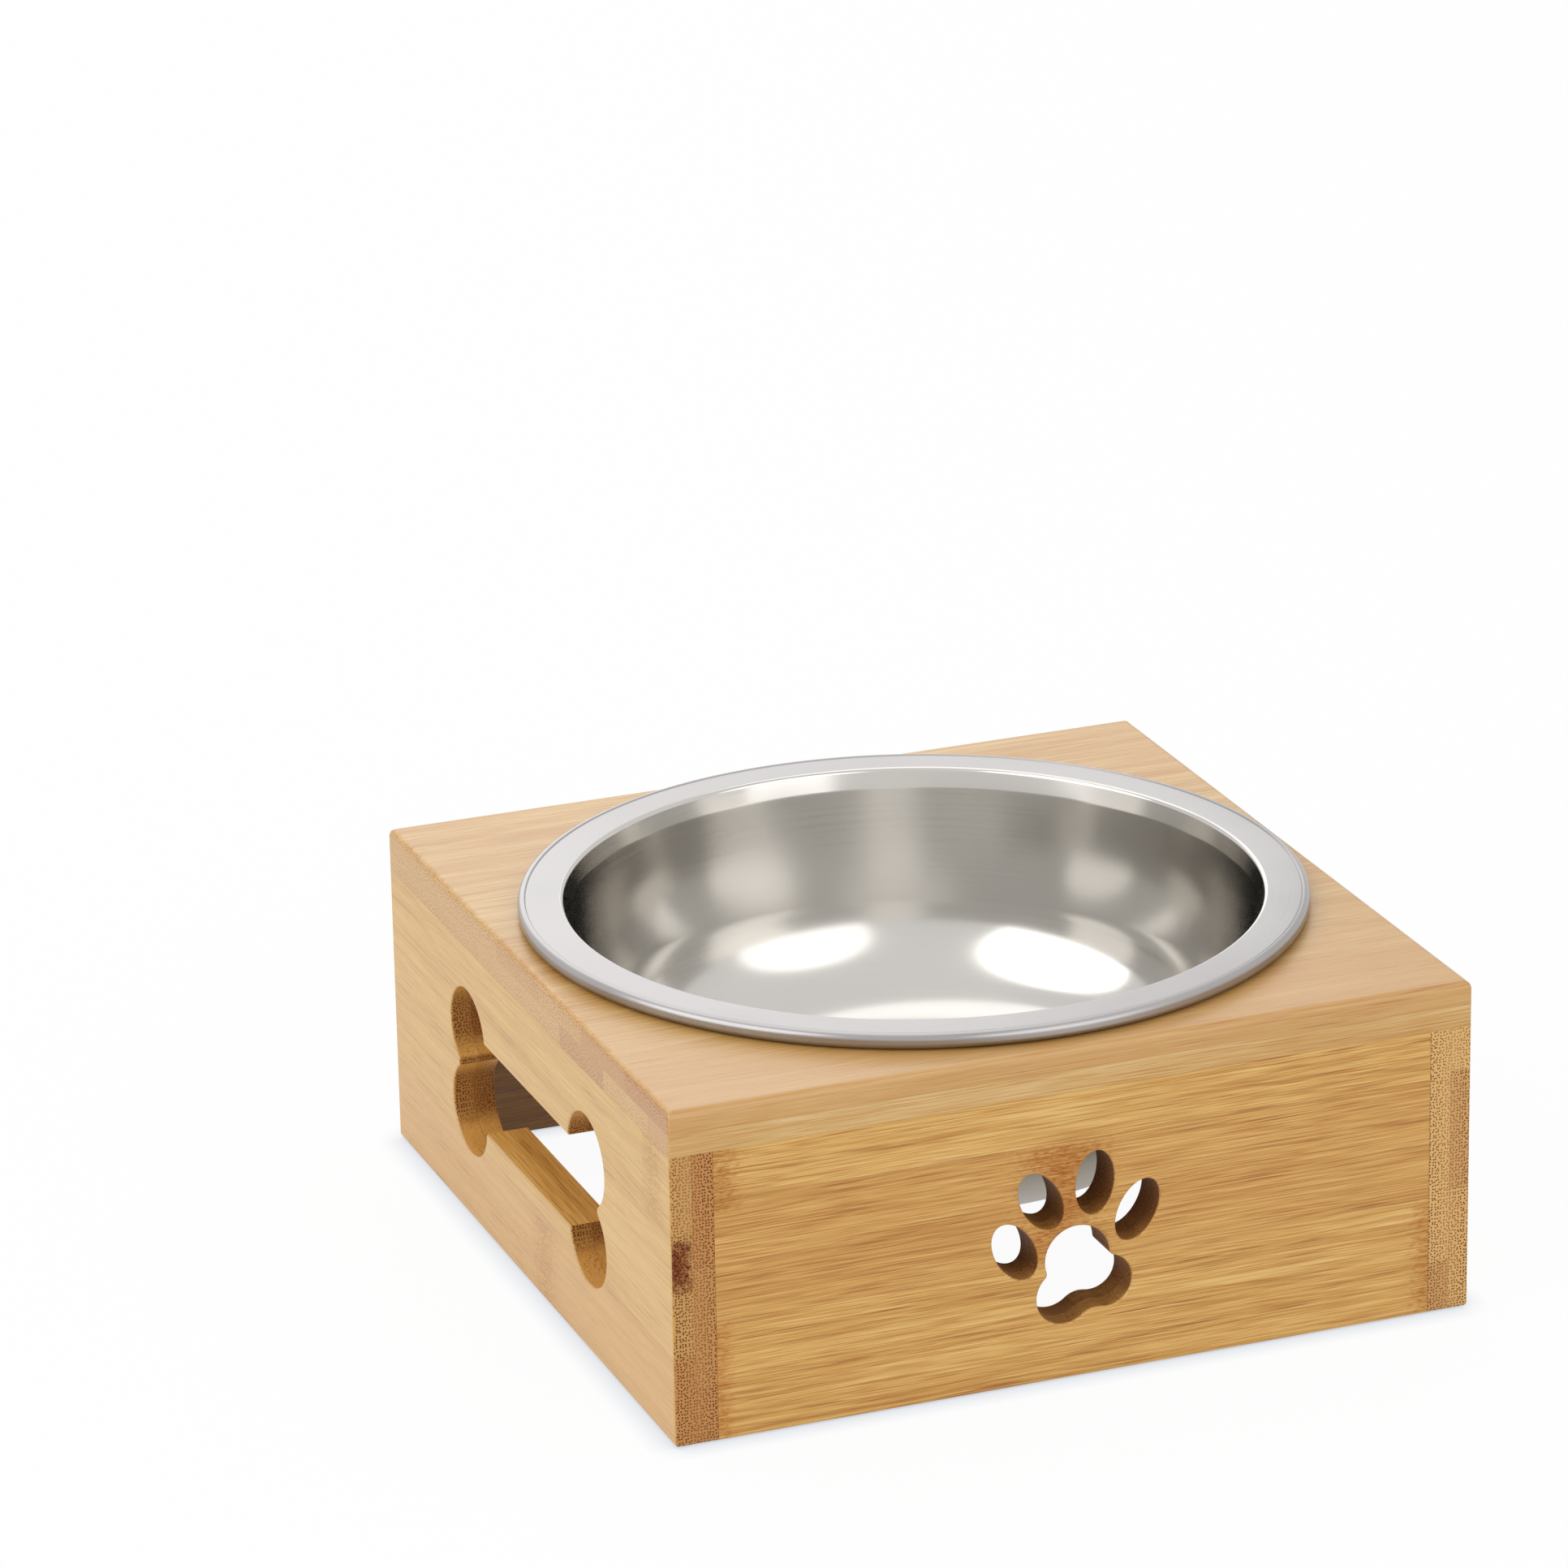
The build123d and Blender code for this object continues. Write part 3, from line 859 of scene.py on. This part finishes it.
def drawBowlPath(shape):  # (point, corner radius) in the XZ plane, from the middle of the floor to the lip
    low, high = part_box("bowl")
    floor = low.z / mm + shape["sheet"]
    top = high.z / mm
    rim = high.x / mm
    foot = standHigh.z / mm + shape["seat"]
    footRadius = shape["mouth"] - (top - floor) * math.tan(math.radians(shape["draft"]))
    half, dip = shape["grooveWidth"] / 2, shape["grooveDepth"]
    flare = shape["band"] * math.tan(math.radians(shape["bandDraft"]))
    return [
        ((0, floor), 0),
        ((footRadius, floor), shape["floorRound"]),
        ((shape["mouth"] - flare, top - dip - shape["band"]), shape["bandRound"]),
        ((shape["mouth"], top - dip), shape["mouthRound"]),
        ((shape["groove"] - half, top - dip), 0),
        ((shape["groove"], top - 2 * dip), 0),
        ((shape["groove"] + half, top), 0),
        ((rim, top), shape["rollRound"]),
        ((rim, foot), shape["rollRound"]),
        ((rim - shape["lip"], foot), 0),
    ]


def roundedPath(path, step):  # corners become arcs that touch both sides
    points = []
    for i, (corner, radius) in enumerate(path):
        here = Vector(corner)
        if radius == 0:
            points.append(here)
            continue
        back = (Vector(path[i - 1][0]) - here).normalized()
        ahead = (Vector(path[i + 1][0]) - here).normalized()
        opening = back.angle(ahead)
        reach = radius / math.tan(opening / 2)
        centre = here + (back + ahead).normalized() * (radius / math.sin(opening / 2))
        first, last = here + back * reach, here + ahead * reach
        count = max(3, round(math.degrees(math.pi - opening) / step))
        arm, swing = first - centre, (last - centre).angle_signed(first - centre)
        for k in range(count + 1):
            turned = Matrix.Rotation(swing * k / count, 2) @ arm
            points.append(centre + turned)
    return points


def spinBowl(shape):  # one sheet without thickness
    points = roundedPath(drawBowlPath(shape), shape["arcStep"])
    bowl = startPen("steelBowl", (points[0].x * mm, 0, points[0].y * mm))
    for before, after in zip(points, points[1:]):
        step = (after - before) * mm
        bpy.ops.mesh.extrude_vertices_move(TRANSFORM_OT_translate={"value": (step.x, 0, step.y)})
    bpy.ops.mesh.select_all(action="SELECT")
    bpy.ops.mesh.spin(steps=shape["steps"], angle=2 * math.pi, center=(0, 0, 0), axis=(0, 0, 1))
    bpy.ops.mesh.select_all(action="SELECT")
    bpy.ops.mesh.remove_doubles(threshold=0.01 * mm)
    bpy.ops.mesh.normals_make_consistent(inside=False)
    bpy.ops.object.mode_set(mode="OBJECT")
    middleFace = min(bowl.data.polygons, key=lambda face: face.center.xy.length)
    if middleFace.normal.z < 0:
        bowl.data.flip_normals()
    return bowl


def finishBowl(steelBowl, shape):  # gives the sheet its steels and its thickness
    finishes = (("polishedSteel", insideLook), ("brushedSteel", flangeLook), ("satinSteel", outsideLook))
    for name, look in finishes:
        steelBowl.data.materials.append(steelMaterial(name, look))
    flangeEdge = (shape["mouth"] + shape["brushedFrom"] * shape["mouthRound"]) * mm
    for face in steelBowl.data.polygons:
        face.material_index = 1 if face.center.xy.length > flangeEdge else 0
    applyModifier(steelBowl, "SOLIDIFY", thickness=shape["sheet"] * mm, offset=-1, use_even_offset=True)
    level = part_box("bowl")[1].z - shape["pressedFrom"] * mm
    for face in steelBowl.data.polygons:
        outward = face.center.xy.dot(face.normal.xy) > 0 or face.normal.z < -0.9
        if outward and face.center.z < level and face.center.xy.length < flangeEdge:
            face.material_index = 2
    smoothPiece(steelBowl, shape["smoothAngle"])
    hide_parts("bowl")
    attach(steelBowl, "bowl")
    print("made bowl")


finishBowl(spinBowl(bowlShape), bowlShape)


# Dowels and feet

beechLook = {
    "tones": ((0.0, "#b98d62"), (0.5, "#cda57b"), (1.0, "#dcbd97")),
    "fleck": "#a2744a",
    "rough": 0.62,
    "grain": (900, 900, 60),    # to the metre
    "flecks": (1400, 1400, 300),
    "grit": 0.05,               # mm
}

rubberLook = {
    "tones": ((0.0, "#c9c8c2"), (1.0, "#deddd8")),
    "rough": (0.62, 0.78),
    "specks": 2500.0,           # to the metre
    "grit": 0.04,               # mm
}


# Beech dowels, turned and left raw: pale pinkish wood with short fine flecks along the dowel
def beechMaterial(look):
    material, tree = newMaterial("rawBeech")
    place = addNode(tree, "TexCoord", out="Object")
    grain = addNode(tree, "Mapping", {"Vector": place, "Scale": look["grain"]})
    tone = addNode(tree, "TexNoise", {"Vector": grain, "Scale": 1.0, "Detail": 3.0})
    colour = addNode(tree, "ValToRGB", {0: tone}, stops=look["tones"])
    flecks = addNode(tree, "Mapping", {"Vector": place, "Scale": look["flecks"]})
    fleck = addNode(tree, "TexVoronoi", {"Vector": flecks, "Scale": 1.0})
    fleck = addNode(tree, "MapRange", {0: fleck, 1: 0.3, 2: 0.1, 3: 0.0, 4: 0.5})
    colour = addNode(tree, "Mix", {0: fleck, 6: colour, 7: linear(look["fleck"])}, out=2, data_type="RGBA")
    bump = addNode(tree, "Bump", {"Height": tone, "Strength": 0.4, "Distance": look["grit"] * mm})
    shader = addNode(
        tree, "BsdfPrincipled", {"Base Color": colour, "Roughness": look["rough"], "Normal": bump})
    addNode(tree, "OutputMaterial", {0: shader}, out=None)
    return material


# Moulded rubber feet, off-white: a dull skin with a very fine grain
def rubberMaterial(look):
    material, tree = newMaterial("mouldedRubber")
    place = addNode(tree, "TexCoord", out="Object")
    speck = addNode(tree, "TexNoise", {"Vector": place, "Scale": look["specks"], "Detail": 3.0})
    colour = addNode(tree, "ValToRGB", {0: speck}, stops=look["tones"])
    smooth, dull = look["rough"]
    rough = addNode(tree, "MapRange", {0: speck, 1: noiseLow, 2: noiseHigh, 3: smooth, 4: dull})
    bump = addNode(tree, "Bump", {"Height": speck, "Strength": 0.3, "Distance": look["grit"] * mm})
    shader = addNode(tree, "BsdfPrincipled", {"Base Color": colour, "Roughness": rough, "Normal": bump})
    addNode(tree, "OutputMaterial", {0: shader}, out=None)
    return material


beech, rubber = beechMaterial(beechLook), rubberMaterial(rubberLook)
for name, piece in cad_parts.items():
    if name.endswith("_dowels") or name.endswith("_foot"):
        piece.data.materials.clear()
        piece.data.materials.append(beech if name.endswith("_dowels") else rubber)
print("dowels and feet finished")


# Studio

studioLook = {
    "floorSize": 8.0,       # metres
    "floorColour": "#f4f4f4",
    "floorGlow": 0.95,      # share of the floor that the camera sees as its glow, plain white but for the painted contact shadow
    "mirrorGlow": 0.8,      # and the share that reflections see so
    "paintedShadowColour": "#c9d0da",  # painted contact shadow: colour of the floor's glow right at the object
    "paintedShadowReach": 0.007,  # metres, how far that painted shadow reaches
    "worldLight": 0.6,      # strength that the world lights surfaces with
    "aim": (0, 0, 0.05),
    "lamps": (              # name, place, size, watts
        ("softboxLeft", (-1.9, -0.3, 1.2), 2.4, 21.5),
        ("softboxFront", (0.8, -2.1, 1.0), 2.2, 13.5),
        ("softboxTop", (0.1, 0.9, 1.9), 1.8, 6.5),
        ("softboxBack", (0.3, 2.1, 0.95), 1.6, 5.5),
    ),
}


def addFloor(look):  # white to the camera and in reflections, but for the object's shadow and a painted contact shadow in its glow
    bpy.ops.object.select_all(action="DESELECT")
    bpy.ops.mesh.primitive_plane_add(size=look["floorSize"], location=(0, 0, 0))
    floor = newPiece("studioFloor")
    material, tree = newMaterial("paleFloor")
    path = addNode(tree, "LightPath", out=None).outputs
    mirrored = addNode(
        tree, "Math", {0: path["Is Glossy Ray"], 1: path["Is Transmission Ray"]}, operation="MAXIMUM")
    mirrored = addNode(tree, "Math", {0: mirrored, 1: look["mirrorGlow"]}, operation="MULTIPLY")
    watched = path["Is Camera Ray"]
    seen = addNode(tree, "Math", {0: watched, 1: look["floorGlow"], 2: mirrored}, operation="MULTIPLY_ADD")
    matt = addNode(tree, "BsdfDiffuse", {"Color": linear(look["floorColour"])})
    # the glow darkens towards the object: a painted contact shadow
    clear = addNode(tree, "AmbientOcclusion", {"Distance": look["paintedShadowReach"]}, out="AO")
    tint = addNode(tree, "ValToRGB", {0: clear}, stops=((0.0, look["paintedShadowColour"]), (1.0, "#ffffff")))
    glow = addNode(tree, "Emission", {"Color": tint, "Strength": 1.0})
    mixed = addNode(tree, "MixShader", {0: seen, 1: matt, 2: glow})
    addNode(tree, "OutputMaterial", {0: mixed}, out=None)
    floor.data.materials.append(material)


def addWorld(look):
    world = bpy.data.worlds.new("studioWorld")
    scene.world = world
    world.use_nodes = True
    tree = world.node_tree
    tree.nodes.clear()
    path = addNode(tree, "LightPath", out=None).outputs
    seen = addNode(tree, "Math", {0: path["Is Camera Ray"], 1: path["Is Glossy Ray"]}, operation="MAXIMUM")
    seen = addNode(tree, "Math", {0: seen, 1: path["Is Transmission Ray"]}, operation="MAXIMUM")
    strength = addNode(tree, "MapRange", {0: seen, 3: look["worldLight"], 4: 1.0})
    light = addNode(tree, "Background", {"Color": (1, 1, 1, 1), "Strength": strength})
    addNode(tree, "OutputWorld", {0: light}, out=None)


def addLamps(look):
    for name, place, size, watts in look["lamps"]:
        data = bpy.data.lights.new(name, "AREA")
        data.shape = "DISK"
        data.size = size
        data.energy = watts
        lamp = bpy.data.objects.new(name, data)
        scene.collection.objects.link(lamp)
        lamp.location = place
        aim = Vector(look["aim"]) - Vector(place)
        lamp.rotation_euler = aim.to_track_quat("-Z", "Y").to_euler()


addFloor(studioLook)
addWorld(studioLook)
addLamps(studioLook)
print("studio lit")
